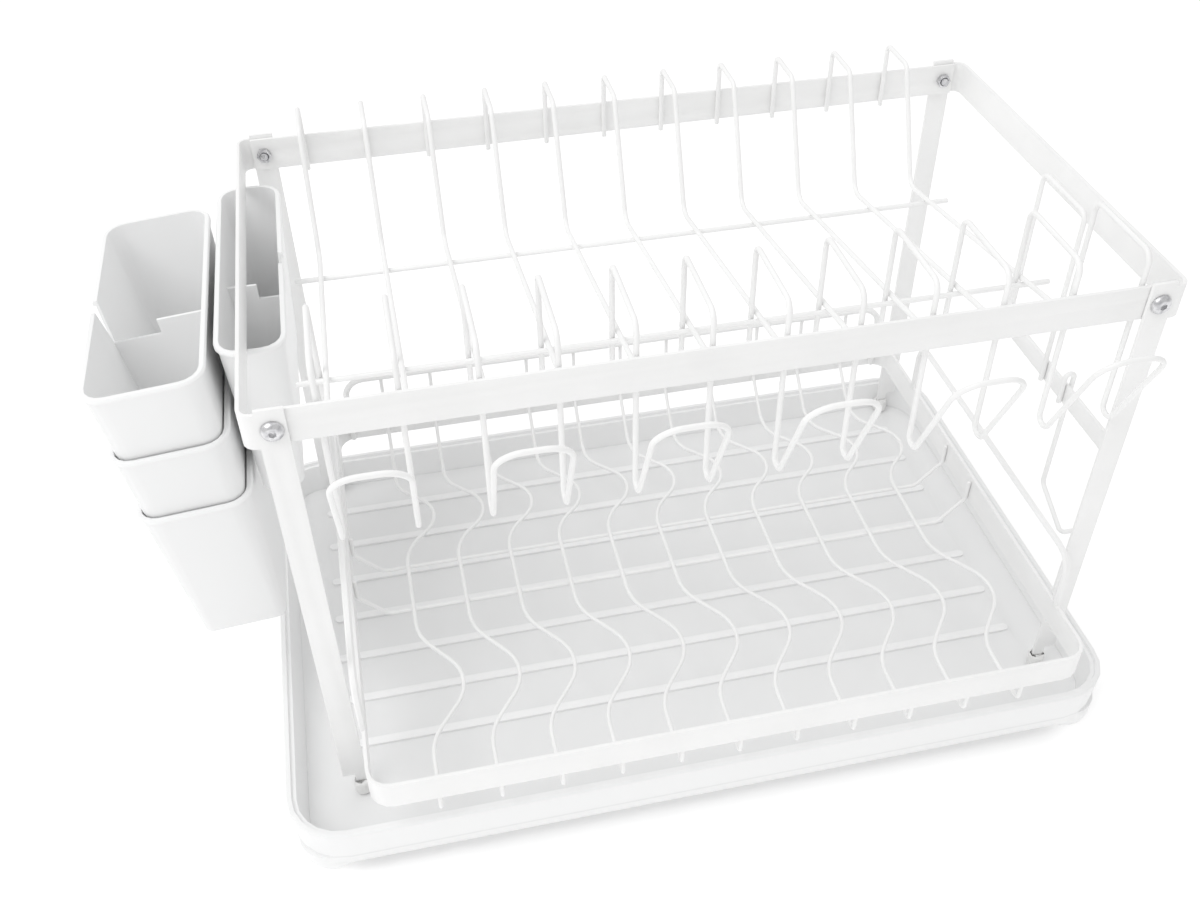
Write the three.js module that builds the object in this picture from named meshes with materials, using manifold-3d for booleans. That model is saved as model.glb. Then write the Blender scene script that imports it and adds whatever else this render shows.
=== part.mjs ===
// Two-tier dish drying rack: a bent-strip frame with dish wires and cup hooks, a lower wire
// basket between its legs, a moulded drip tray, a nest of cutlery cups and a board hook.
// Millimetres, +X right, +Y back, +Z up. The origin is the bottom centre of the bounding box.
import * as THREE from 'three';
import { mergeVertices } from 'three/addons/utils/BufferGeometryUtils.js';
import Module from 'manifold-3d';

const wasm = await Module();
wasm.setup();

// ---------- driving dimensions ----------
const gap = 0.3; // between separate pieces that touch

// upper frame; its heights are measured from the tips of the legs
const rackWidth = 430;
const rackDepth = 248;
const rackHeight = 268;
const stripHeight = 18;
const stripThickness = 1.8;
const frameCorner = 6;
const legSetIn = 7.3;
const legWidth = 12.5;
const legTab = 2;
const tongueLength = 16;
const legCapRadius = 4.6;
const legCapHeight = 10;
const legSink = 3; // how far a cap reaches below the end of its leg

// fasteners
const screwDiameter = 4.4;
const screwHeadDiameter = 10;
const screwHeadHeight = 2.6;
const screwRecessRadius = 1.6;
const nutAcrossFlats = 7;
const nutThickness = 2.6;
const screwHoleClearance = 0.6;

// dish wires
const wireDiameter = 2.8;
const wireBend = 5;
const dishWireCount = 11;
const wireMarginLeft = 36;
const wireMarginRight = 19;
const wireRise = 19; // peak above the frame
const wireTail = 20; // end of the wire below the frame's top
const wireRun = 28; // level run at the peak
const wireDip = 44; // lowest point below the frame's top
const wireDipY = 62;
const wireFrontDrop = 15; // front end below the frame's top
const rearRodY = 41;

// cup hooks: each wire makes two hoops and the hook that joins them
const hookCount = 6;
const hoopRise = 17;
const hoopTail = 40;
const hoopBackY = -70;
const hookDrop = 76; // underside of the hook below the frame's top
const hookBend = 4.5;
const hookArm = 47;
const hookLean = 65; // degrees above the horizontal
const hookCrown = 15;

// end loop, side strip and board hook on the right
const sideStripTop = 172;
const sideStripHeight = 12;
const sideStripInset = 10;
const sideStripBackY = -4;
const loopTopDrop = 3;
const loopFrontY = -52;
const loopBackY = -8;
const boardHookY = -72;
const boardHookRise = 7;
const boardHookLip = 12;
const boardHookFoot = 86;
const boardHookReach = 28;
const boardHookToe = 9;
const boardHookBend = 2;

// lower basket
const basketRimTop = 67.4;
const basketRimHeight = 17;
const basketSideClearance = 3.4;
const basketOverhang = 48;
const basketBackGap = 6;
const basketCorner = 12;
const basketFloor = 36;
const basketWireDiameter = 2.3;
const basketWireCount = 11;
const basketWireMargin = 34;
const basketBulge = 22;
const basketRise = 22; // length of the slope at the back of the floor
const basketRodY = [7, -28];
const basketRodSlope = 16;
const handleDiameter = 4;
const handleTop = 102;
const handleFrontY = -134;
const handleBackY = 66;
const handleBend = 12;
const railTop = 100;
const railInset = 9;

// drip tray; its floor is the level of the leg tips
const trayLeft = 23; // how far each edge stands out past the frame
const trayRight = 12;
const trayFront = 40;
const trayBack = 13;
const trayCorner = 30;
const trayLipHeight = 20;
const traySkirt = 6;
const trayWall = 2;
const trayLipWidth = 3;
const trayWallRun = 8;
const footHeight = 17;
const footRadius = 18;
const footInset = 21;
const ribCount = 7;
const ribHeight = 1.6;
const ribWidth = 5;
const ribMarginX = 31;
const ribFrontMargin = 71;
const ribBackMargin = 37;

// cutlery cups
const cupHeight = 92;
const cupLength = 157;
const cupWidth = 57;
const cupCorner = 12;
const cupWall = 1.5;
const cupTaper = 0.058; // inward slope of each wall
const cupBead = 1.2;
const cupBeadHeight = 2.6;
const cupStep = 38; // each nested cup sits this far above the next
const cupCount = 3;
const cupRimDrop = 18; // rim of the top cup below the frame's top
const cupFromFrame = 17;
const cupLean = 5; // degrees that the nest leans out at the top
const cupBackY = 87;
const dividerDrop = 14;
const notchWidth = 11;
const notchDepth = 26;
const innerCupWidth = 34;
const innerCupBackY = 104;
const innerCupFromFrame = 14;

// ---------- derived places ----------
const wireRadius = wireDiameter / 2;
const halfWidth = rackWidth / 2;
const halfDepth = rackDepth / 2;
const stripBottom = rackHeight - stripHeight;
const legOuterX = halfWidth - legSetIn;
const legInnerX = legOuterX - legWidth;
const legInnerY = halfDepth - stripThickness;
const screwX = (legOuterX + legInnerX) / 2;
const screwZ = rackHeight - stripHeight / 2;
const barOuterY = legInnerY - gap;
const barInnerY = barOuterY - stripThickness;
const wireEndY = barInnerY - gap - wireRadius;
const firstWireX = -halfWidth + wireMarginLeft;
const wirePitch = (rackWidth - wireMarginLeft - wireMarginRight) / dishWireCount;
const wireGap = wireDiameter + gap;
const dishSlope = (wireDip - wireFrontDrop) / (wireDipY + wireEndY);
const basketHalfWidth = legInnerX - basketSideClearance;
const basketFrontY = -halfDepth - basketOverhang;
const basketBackY = halfDepth - basketBackGap;
const trayMinX = -halfWidth - trayLeft;
const trayMaxX = halfWidth + trayRight;
const trayMinY = -halfDepth - trayFront;
const trayMaxY = halfDepth + trayBack;
const cupInnerX = -halfWidth - cupFromFrame;
const cupRimZ = rackHeight - cupRimDrop;

// ---------- finishes ----------
function paint(color, roughness, metalness) {
  return new THREE.MeshStandardMaterial({ color, roughness, metalness });
}
const powderCoat = paint(0xf0f0ef, 0.42, 0.0);
const rackPlastic = paint(0xeeefef, 0.5, 0.0);
const trayPlastic = paint(0xe9eaea, 0.48, 0.0);
const capPlastic = paint(0xe6e6e4, 0.45, 0.0);
const polishedSteel = paint(0xb9bbbd, 0.25, 1.0);

// ---------- solids ----------
function toSolid(geometry) {
  const bare = geometry.clone();
  bare.deleteAttribute('normal');
  bare.deleteAttribute('uv');
  const merged = mergeVertices(bare, 1e-4);
  const vertProperties = new Float32Array(merged.attributes.position.array);
  const triVerts = new Uint32Array(merged.index.array);
  return new wasm.Manifold(new wasm.Mesh({ numProp: 3, vertProperties, triVerts }));
}

function fromSolid(solid) {
  const mesh = solid.getMesh();
  const geometry = new THREE.BufferGeometry();
  geometry.setAttribute('position', new THREE.BufferAttribute(mesh.vertProperties, 3));
  geometry.setIndex(new THREE.BufferAttribute(mesh.triVerts, 1));
  geometry.computeVertexNormals();
  return geometry;
}

function join(first, ...others) {
  return fromSolid(others.reduce((solid, other) => solid.add(toSolid(other)), toSolid(first)));
}

function cut(first, ...others) {
  return fromSolid(others.reduce((solid, other) => solid.subtract(toSolid(other)), toSolid(first)));
}

// A wire's centre line: straight runs with a round bend at each corner.
class BentWire extends THREE.Curve {
  constructor(corners, bendRadius, stepsPerBend) {
    super();
    this.vertices = roundCorners(corners, bendRadius, stepsPerBend);
  }

  getPointAt(u, target = new THREE.Vector3()) {
    return target.copy(this.vertices[Math.round(u * (this.vertices.length - 1))]);
  }

  getTangentAt(u, target = new THREE.Vector3()) {
    const index = Math.round(u * (this.vertices.length - 1));
    const before = this.vertices[Math.max(index - 1, 0)];
    const here = this.vertices[index];
    const after = this.vertices[Math.min(index + 1, this.vertices.length - 1)];
    const arriving = here.clone().sub(before).normalize();
    const leaving = after.clone().sub(here).normalize();
    return target.copy(arriving.add(leaving).normalize());
  }
}

function roundCorners(corners, bendRadius, stepsPerBend) {
  const smallestTurn = 0.5;
  const vertices = [corners[0]];
  for (let i = 1; i < corners.length - 1; i += 1) {
    const corner = corners[i];
    const back = corners[i - 1].clone().sub(corner);
    const ahead = corners[i + 1].clone().sub(corner);
    const turn = Math.PI - back.angleTo(ahead);
    if (turn < smallestTurn) {
      vertices.push(corner);
      continue;
    }
    const room = 0.45 * Math.min(back.length(), ahead.length());
    const setBack = Math.min(bendRadius * Math.tan(turn / 2), room);
    const start = corner.clone().addScaledVector(back.normalize(), setBack);
    const end = corner.clone().addScaledVector(ahead.normalize(), setBack);
    const radius = setBack / Math.tan(turn / 2);
    const towards = back.clone().add(ahead).normalize();
    const centre = corner.clone().addScaledVector(towards, radius / Math.cos(turn / 2));
    const across = start.clone().sub(centre);
    const axis = across.clone().cross(end.clone().sub(centre)).normalize();
    for (let step = 0; step <= stepsPerBend; step += 1) {
      vertices.push(across.clone().applyAxisAngle(axis, (turn * step) / stepsPerBend).add(centre));
    }
  }
  vertices.push(corners[corners.length - 1]);
  return vertices;
}

function wireSection(diameter, sides) {
  const section = new THREE.Shape();
  for (let side = 0; side < sides; side += 1) {
    const angle = ((side + 0.5) * 2 * Math.PI) / sides;
    const x = (diameter / 2) * Math.cos(angle);
    const y = (diameter / 2) * Math.sin(angle);
    if (side === 0) {
      section.moveTo(x, y);
    } else {
      section.lineTo(x, y);
    }
  }
  return section;
}

function bendWire(corners, { diameter = wireDiameter, bend = wireBend, bendSteps = 2, sides = 6 } = {}) {
  const path = new BentWire(corners, bend, bendSteps);
  return new THREE.ExtrudeGeometry(wireSection(diameter, sides), {
    steps: path.vertices.length - 1,
    bevelEnabled: false,
    extrudePath: path,
  });
}

function vec(x, y, z) {
  return new THREE.Vector3(x, y, z);
}

// Points round a rectangle with round corners, anticlockwise from its right edge.
function roundRectangle(minX, minY, maxX, maxY, corner, cornerSteps) {
  const points = [];
  const centres = [
    [maxX - corner, maxY - corner],
    [minX + corner, maxY - corner],
    [minX + corner, minY + corner],
    [maxX - corner, minY + corner],
  ];
  centres.forEach(([x, y], quarter) => {
    for (let step = 0; step <= cornerSteps; step += 1) {
      const angle = ((quarter + step / cornerSteps) * Math.PI) / 2;
      points.push(new THREE.Vector2(x + corner * Math.cos(angle), y + corner * Math.sin(angle)));
    }
  });
  return points;
}

// A closed skin over rings with the same number of points, capped at both ends.
function skinRings(rings) {
  const size = rings[0].length;
  const positions = rings.flat().flatMap((point) => [point.x, point.y, point.z]);
  const index = [];
  for (let ring = 0; ring < rings.length - 1; ring += 1) {
    for (let i = 0; i < size; i += 1) {
      const a = ring * size + i;
      const b = ring * size + ((i + 1) % size);
      index.push(a, b, b + size, a, b + size, a + size);
    }
  }
  const last = (rings.length - 1) * size;
  for (let i = 1; i < size - 1; i += 1) {
    index.push(0, i + 1, i, last, last + i, last + i + 1);
  }
  const geometry = new THREE.BufferGeometry();
  geometry.setAttribute('position', new THREE.Float32BufferAttribute(positions, 3));
  geometry.setIndex(index);
  geometry.computeVertexNormals();
  return geometry;
}

function rectangleRing(box, inset, corner, cornerSteps, z) {
  const outline = roundRectangle(
    box.minX + inset, box.minY + inset, box.maxX - inset, box.maxY - inset, corner - inset, cornerSteps,
  );
  return outline.map((point) => vec(point.x, point.y, z));
}

function boxBetween(min, max) {
  const size = max.clone().sub(min);
  const centre = max.clone().add(min).multiplyScalar(0.5);
  return new THREE.BoxGeometry(size.x, size.y, size.z).translate(centre.x, centre.y, centre.z);
}

function cylinderAlongY(radius, fromY, toY, x, z, sides) {
  const cylinder = new THREE.CylinderGeometry(radius, radius, toY - fromY, sides);
  return cylinder.translate(x, (fromY + toY) / 2, z);
}

function flatPlate(outline, thickness, frontY) {
  const plate = new THREE.ExtrudeGeometry(new THREE.Shape(outline), {
    depth: thickness,
    bevelEnabled: false,
  });
  return plate.rotateX(Math.PI / 2).translate(0, frontY + thickness, 0);
}

// ---------- scene graph ----------
const rack = new THREE.Group();
const upper = new THREE.Group();
const basket = new THREE.Group();
const cups = new THREE.Group();
rack.add(upper, basket, cups);

function place(group, name, geometry, material) {
  const mesh = new THREE.Mesh(geometry, material);
  mesh.name = name;
  group.add(mesh);
  return mesh;
}

function numbered(name, index) {
  return `${name}_${String(index + 1).padStart(2, '0')}`;
}

// ---------- upper frame ----------
// One strip bent round both corners, with a leg welded into each of its two short ends.
function sideFrameGeometry() {
  const steps = 4;
  const outer = roundRectangle(-halfWidth, -halfDepth, 0, halfDepth, frameCorner, steps);
  const inner = roundRectangle(
    -halfWidth + stripThickness, -legInnerY, 0, legInnerY, frameCorner - stripThickness, steps,
  );
  const leftHalf = (points) => points.slice(steps + 1, 3 * (steps + 1));
  const bandOutline = [
    new THREE.Vector2(-legInnerX, halfDepth),
    ...leftHalf(outer),
    new THREE.Vector2(-legInnerX, -halfDepth),
    new THREE.Vector2(-legInnerX, -legInnerY),
    ...leftHalf(inner).reverse(),
    new THREE.Vector2(-legInnerX, legInnerY),
  ];
  const band = new THREE.ExtrudeGeometry(new THREE.Shape(bandOutline), {
    depth: stripHeight,
    bevelEnabled: false,
  }).translate(0, 0, stripBottom);
  const tongueX = -legInnerX - legWidth / 2;
  const legOutline = [
    new THREE.Vector2(-legOuterX, rackHeight + legTab),
    new THREE.Vector2(-legOuterX, tongueLength),
    new THREE.Vector2(tongueX, tongueLength),
    new THREE.Vector2(tongueX, legSink),
    new THREE.Vector2(-legInnerX, legSink),
    new THREE.Vector2(-legInnerX, rackHeight + legTab),
  ];
  const frontLeg = flatPlate(legOutline, stripThickness, -halfDepth);
  const backLeg = flatPlate(legOutline, stripThickness, legInnerY);
  const hole = (screwDiameter + screwHoleClearance) / 2;
  const drill = cylinderAlongY(hole, -halfDepth - 1, halfDepth + 1, -screwX, screwZ, 12);
  return cut(join(band, frontLeg, backLeg), drill);
}

function barGeometry() {
  const min = vec(-legOuterX, -barOuterY, stripBottom);
  const max = vec(legOuterX, -barInnerY, rackHeight);
  const hole = (screwDiameter + screwHoleClearance) / 2;
  const drills = [-screwX, screwX].map((x) => (
    cylinderAlongY(hole, -barOuterY - 1, -barInnerY + 1, x, screwZ, 12)
  ));
  return cut(boxBetween(min, max), ...drills);
}

// Button head with a socket, turned about the screw's own axis; +Y is the way it is driven.
function screwGeometry() {
  const shank = screwDiameter / 2;
  const head = screwHeadDiameter / 2;
  const length = 2 * stripThickness + 2 * gap + nutThickness + 1;
  const profile = [
    new THREE.Vector2(0, -screwHeadHeight + 1.4),
    new THREE.Vector2(screwRecessRadius, -screwHeadHeight + 1),
    new THREE.Vector2(screwRecessRadius, -screwHeadHeight),
    new THREE.Vector2(head * 0.72, -screwHeadHeight * 0.8),
    new THREE.Vector2(head, -screwHeadHeight * 0.25),
    new THREE.Vector2(head, 0),
    new THREE.Vector2(shank, 0),
    new THREE.Vector2(shank, length),
    new THREE.Vector2(0, length),
  ];
  return new THREE.LatheGeometry(profile, 12);
}

function nutGeometry() {
  const circumscribed = nutAcrossFlats / Math.sqrt(3);
  const outline = new THREE.Shape();
  for (let side = 0; side < 6; side += 1) {
    const angle = (side * Math.PI) / 3;
    const x = circumscribed * Math.cos(angle);
    const y = circumscribed * Math.sin(angle);
    if (side === 0) {
      outline.moveTo(x, y);
    } else {
      outline.lineTo(x, y);
    }
  }
  const thread = new THREE.Path();
  thread.absarc(0, 0, screwDiameter / 2 + gap, 0, 2 * Math.PI, true);
  outline.holes.push(thread);
  return new THREE.ExtrudeGeometry(outline, {
    depth: nutThickness,
    bevelEnabled: false,
    curveSegments: 12,
  }).rotateX(Math.PI / 2).translate(0, nutThickness, 0);
}

function legCapGeometry() {
  const rim = legCapRadius;
  const profile = [
    new THREE.Vector2(0, 0),
    new THREE.Vector2(rim * 0.7, 0),
    new THREE.Vector2(rim, rim * 0.35),
    new THREE.Vector2(rim, legCapHeight - 1),
    new THREE.Vector2(rim - 0.8, legCapHeight),
    new THREE.Vector2(0, legCapHeight),
  ];
  const plug = new THREE.LatheGeometry(profile, 16).rotateX(Math.PI / 2);
  const halfSlotX = legWidth / 4 + gap;
  const halfSlotY = stripThickness / 2 + gap;
  const slot = boxBetween(
    vec(-halfSlotX, -halfSlotY, legSink - gap),
    vec(halfSlotX, halfSlotY, legCapHeight + 1),
  );
  return cut(plug, slot);
}

place(upper, 'left_side_frame', sideFrameGeometry(), powderCoat);
place(upper, 'right_side_frame', sideFrameGeometry(), powderCoat).rotation.z = Math.PI;
place(upper, 'front_bar', barGeometry(), powderCoat);
place(upper, 'rear_bar', barGeometry(), powderCoat).rotation.z = Math.PI;

const corners = [
  { name: 'front_left', x: -1, y: -1 },
  { name: 'front_right', x: 1, y: -1 },
  { name: 'rear_left', x: -1, y: 1 },
  { name: 'rear_right', x: 1, y: 1 },
];
for (const corner of corners) {
  const facing = corner.y < 0 ? 0 : Math.PI;
  const screw = place(upper, `${corner.name}_screw`, screwGeometry(), polishedSteel);
  screw.position.set(corner.x * screwX, corner.y * (halfDepth + gap), screwZ);
  screw.rotation.z = facing;
  const nut = place(upper, `${corner.name}_nut`, nutGeometry(), polishedSteel);
  nut.position.set(corner.x * screwX, corner.y * (barInnerY - gap), screwZ);
  nut.rotation.z = facing;
  const cap = place(upper, `${corner.name}_leg_cap`, legCapGeometry(), capPlastic);
  cap.position.set(corner.x * (legInnerX + legWidth / 4), corner.y * (legInnerY + stripThickness / 2), gap);
}

// ---------- dish wires and rods ----------
function dishHeightAt(y) {
  return rackHeight - wireFrontDrop - dishSlope * (y + wireEndY);
}

function dishWireGeometry() {
  const peak = rackHeight + wireRise - wireRadius;
  return bendWire([
    vec(0, wireEndY, rackHeight - wireTail),
    vec(0, wireEndY, peak),
    vec(0, wireEndY - wireRun, peak),
    vec(0, wireDipY, dishHeightAt(wireDipY)),
    vec(0, -barInnerY + gap, dishHeightAt(-barInnerY + gap)),
  ]);
}

for (let i = 0; i < dishWireCount; i += 1) {
  const wire = place(upper, numbered('dish_wire', i), dishWireGeometry(), powderCoat);
  wire.position.x = firstWireX + i * wirePitch;
}

const frontRodY = hoopBackY - wireGap;
function rodGeometry(y) {
  const z = dishHeightAt(y) - wireGap;
  const lastWireX = firstWireX + (dishWireCount - 1) * wirePitch;
  const overshoot = 14;
  return bendWire([vec(firstWireX - overshoot, y, z), vec(lastWireX + overshoot, y, z)], { sides: 8 });
}
place(upper, 'rear_rod', rodGeometry(rearRodY), powderCoat);
place(upper, 'front_rod', rodGeometry(frontRodY), powderCoat);

// ---------- cup hooks ----------
function cupHookGeometry() {
  const peak = rackHeight + hoopRise - wireRadius;
  const bottom = rackHeight - hookDrop + wireRadius;
  const lean = THREE.MathUtils.degToRad(hookLean);
  const armStart = vec(0, -wireEndY - hookBend * (1 + Math.sin(lean)), bottom + hookBend * (1 - Math.cos(lean)));
  const along = vec(0, -Math.cos(lean), Math.sin(lean));
  const half = wirePitch / 2;
  const hoop = [
    vec(-half, hoopBackY, rackHeight - hoopTail),
    vec(-half, hoopBackY, peak),
    vec(-half, -wireEndY, peak),
    vec(-half, -wireEndY, bottom + hookBend),
  ];
  const turnSteps = 4;
  const underside = [];
  for (let step = 1; step <= turnSteps; step += 1) {
    const angle = (step / turnSteps) * (Math.PI - (Math.PI / 2 - lean));
    underside.push(vec(
      -half,
      -wireEndY - hookBend * (1 - Math.cos(angle)),
      bottom + hookBend * (1 - Math.sin(angle)),
    ));
  }
  const armEnd = underside[underside.length - 1].clone().addScaledVector(along, hookArm);
  const crownSteps = 8;
  const crown = [];
  for (let step = 0; step <= crownSteps; step += 1) {
    const angle = (step / crownSteps) * Math.PI;
    const point = armEnd.clone().addScaledVector(along, hookCrown * Math.sin(angle));
    point.x = -half * Math.cos(angle);
    crown.push(point);
  }
  const mirrored = (points) => points.map((point) => vec(-point.x, point.y, point.z)).reverse();
  return bendWire([
    ...hoop, ...underside, ...crown, ...mirrored(underside), ...mirrored(hoop),
  ], { bend: wireBend });
}

for (let i = 0; i < hookCount; i += 1) {
  const hook = place(upper, numbered('cup_hook', i), cupHookGeometry(), powderCoat);
  hook.position.x = firstWireX + (2 * i + 0.5) * wirePitch - wireGap;
}

// ---------- side strip, end loop and board hook ----------
const sideStripX = halfWidth - sideStripInset;
const sideStripFace = sideStripX - stripThickness;
place(upper, 'side_strip', boxBetween(
  vec(sideStripFace, -legInnerY + gap, sideStripTop - sideStripHeight),
  vec(sideStripX, sideStripBackY, sideStripTop),
), powderCoat);

const loopX = sideStripFace - gap - wireRadius;
const loopTop = rackHeight - loopTopDrop;
const loopFoot = sideStripTop - sideStripHeight;
place(upper, 'end_loop', bendWire([
  vec(loopX, loopBackY, loopFoot),
  vec(loopX, loopBackY, loopTop),
  vec(loopX, loopFrontY, loopTop),
  vec(loopX, loopFrontY, loopFoot),
]), powderCoat);

const boardHookInnerX = sideStripFace - gap - wireRadius;
const boardHookOuterX = sideStripX + gap + wireRadius;
const boardHookTop = sideStripTop + boardHookRise;
place(upper, 'board_hook', bendWire([
  vec(boardHookInnerX, boardHookY, sideStripTop - boardHookLip),
  vec(boardHookInnerX, boardHookY, boardHookTop),
  vec(boardHookOuterX, boardHookY, boardHookTop),
  vec(boardHookOuterX, boardHookY, boardHookFoot + boardHookReach / 2),
  vec(boardHookOuterX, boardHookY - boardHookReach, boardHookFoot),
  vec(boardHookOuterX + boardHookToe, boardHookY - boardHookReach, boardHookFoot),
], { bend: boardHookBend }), powderCoat);

// ---------- lower basket ----------
const basketWireRadius = basketWireDiameter / 2;
const basketRimBottom = basketRimTop - basketRimHeight;
const basketFrontWireY = basketFrontY + stripThickness + gap + basketWireRadius;
const basketBackWireY = basketBackY - stripThickness - gap - basketWireRadius;
const basketInnerX = basketHalfWidth - stripThickness;

function basketRimGeometry() {
  const steps = 4;
  const outline = new THREE.Shape(
    roundRectangle(-basketHalfWidth, basketFrontY, basketHalfWidth, basketBackY, basketCorner, steps),
  );
  outline.holes.push(new THREE.Path(roundRectangle(
    -basketInnerX, basketFrontY + stripThickness, basketInnerX, basketBackY - stripThickness,
    basketCorner - stripThickness, steps,
  )));
  const rim = new THREE.ExtrudeGeometry(outline, {
    depth: basketRimHeight,
    bevelEnabled: false,
  }).translate(0, 0, basketRimBottom);
  const handles = [-1, 1].map((side) => {
    const x = side * (basketHalfWidth - stripThickness / 2);
    const foot = basketRimTop - stripThickness;
    return bendWire([
      vec(x, handleBackY, foot),
      vec(x, handleBackY, handleTop),
      vec(x, handleFrontY, handleTop),
      vec(x, handleFrontY, foot),
    ], { diameter: handleDiameter, bend: handleBend, bendSteps: 3 });
  });
  return join(rim, ...handles);
}
place(basket, 'basket_rim', basketRimGeometry(), powderCoat);

// The floor of each wire swings sideways twice between the rods.
function basketWireGeometry() {
  const floorBack = basketBackWireY - basketRise;
  const bulges = [
    { start: basketFrontY + 42, end: basketRodY[1] - 20 },
    { start: basketRodY[0] + 8, end: floorBack - 12 },
  ];
  const corners = [vec(0, basketFrontWireY, basketRimTop - 3), vec(0, basketFrontWireY, basketFloor)];
  const steps = 7;
  for (const { start, end } of bulges) {
    for (let step = 0; step <= steps; step += 1) {
      const share = step / steps;
      const x = basketBulge * 0.5 * (1 - Math.cos(2 * Math.PI * share));
      corners.push(vec(x, start + (end - start) * share, basketFloor));
    }
  }
  corners.push(
    vec(0, floorBack, basketFloor),
    vec(0, basketBackWireY, basketRimBottom + 6),
    vec(0, basketBackWireY, railTop - handleDiameter / 2 - gap),
  );
  return bendWire(corners, { diameter: basketWireDiameter, bend: 4 });
}

const basketWirePitch = (2 * (basketHalfWidth - basketWireMargin)) / (basketWireCount - 1);
for (let i = 0; i < basketWireCount; i += 1) {
  const wire = place(basket, numbered('basket_wire', i), basketWireGeometry(), powderCoat);
  wire.position.x = -basketHalfWidth + basketWireMargin + i * basketWirePitch;
}

function basketRodGeometry(y) {
  const z = basketFloor - basketWireDiameter - gap;
  const endX = basketInnerX - gap - basketWireRadius;
  const end = vec(endX, y, basketRimTop - 3);
  const foot = vec(endX, y, basketRimBottom);
  const knee = vec(endX - basketRodSlope, y, z);
  const mirrored = [end, foot, knee].map((point) => vec(-point.x, point.y, point.z)).reverse();
  return bendWire([end, foot, knee, ...mirrored], { diameter: basketWireDiameter, bend: 4 });
}
place(basket, 'basket_rear_rod', basketRodGeometry(basketRodY[0]), powderCoat);
place(basket, 'basket_front_rod', basketRodGeometry(basketRodY[1]), powderCoat);

const railX = basketInnerX - railInset;
const railY = basketBackY - stripThickness - gap - handleDiameter / 2;
place(basket, 'basket_back_rail', bendWire([
  vec(-railX, railY, basketRimBottom + 2),
  vec(-railX, railY, railTop),
  vec(railX, railY, railTop),
  vec(railX, railY, basketRimBottom + 2),
], { diameter: handleDiameter, bend: handleBend, bendSteps: 3 }), powderCoat);

// ---------- drip tray ----------
function dripTrayGeometry() {
  const box = { minX: trayMinX, minY: trayMinY, maxX: trayMaxX, maxY: trayMaxY };
  const steps = 5;
  const ring = (inset, z) => rectangleRing(box, inset, trayCorner, steps, z);
  const floorInset = trayWallRun + trayWall;
  const shell = skinRings([
    ring(floorInset, -trayWall),
    ring(trayLipWidth + trayWall + 0.5, trayLipHeight - trayWall),
    ring(trayWall, trayLipHeight - trayWall),
    ring(trayWall + 1.5, -traySkirt),
    ring(1.5, -traySkirt),
    ring(0, trayLipHeight - 1),
    ring(0.8, trayLipHeight),
    ring(trayLipWidth, trayLipHeight),
    ring(trayWallRun - 1.2, 2.5),
    ring(trayWallRun + 1.5, 0),
  ]);
  const feet = [
    [trayMinX + footInset, trayMinY + footInset],
    [trayMaxX - footInset, trayMinY + footInset],
    [trayMinX + footInset, trayMaxY - footInset],
    [trayMaxX - footInset, trayMaxY - footInset],
  ].map(([x, y]) => {
    const profile = [
      new THREE.Vector2(0, -footHeight),
      new THREE.Vector2(footRadius * 0.72, -footHeight),
      new THREE.Vector2(footRadius * 0.93, -footHeight * 0.8),
      new THREE.Vector2(footRadius, -footHeight * 0.5),
      new THREE.Vector2(footRadius, -trayWall / 2),
      new THREE.Vector2(0, -trayWall / 2),
    ];
    return new THREE.LatheGeometry(profile, 20).rotateX(Math.PI / 2).translate(x, y, 0);
  });
  return join(shell, ...feet, ...trayRibs());
}

function trayRibs() {
  const ribs = [];
  const firstY = trayMinY + ribFrontMargin;
  const ribPitch = (trayMaxY - ribBackMargin - firstY) / (ribCount - 1);
  const half = ribWidth / 2;
  for (let i = 0; i < ribCount; i += 1) {
    const outline = new THREE.Shape(roundRectangle(
      trayMinX + ribMarginX, -half, trayMaxX - ribMarginX, half, half * 0.999, 3,
    ));
    ribs.push(new THREE.ExtrudeGeometry(outline, {
      depth: ribHeight + trayWall / 2,
      bevelEnabled: false,
    }).translate(0, firstY + i * ribPitch, -trayWall / 2));
  }
  return ribs;
}
place(rack, 'drip_tray', dripTrayGeometry(), trayPlastic);

// ---------- cutlery cups ----------
// A tapered cup with a bead round its rim. It nests in a cup of its own kind.
function cupShellGeometry(width) {
  const box = { minX: -width / 2, minY: -cupLength, maxX: width / 2, maxY: 0 };
  const steps = 4;
  const ring = (inset, z) => rectangleRing(box, inset, cupCorner, steps, z);
  const taper = (depth) => depth * cupTaper;
  return skinRings([
    ring(taper(cupHeight) + cupBead + 2, -cupHeight),
    ring(taper(cupHeight) + cupBead, -cupHeight + 2),
    ring(taper(cupBeadHeight) + cupBead, -cupBeadHeight),
    ring(cupBead * 0.2, -cupBeadHeight),
    ring(0, -cupBeadHeight / 2),
    ring(cupBead * 0.5, 0),
    ring(cupBead + cupWall, 0),
    ring(taper(cupHeight) + cupBead + cupWall, -cupHeight + cupWall + 2),
    ring(taper(cupHeight) + cupBead + cupWall + 2, -cupHeight + cupWall),
  ]);
}

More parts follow.
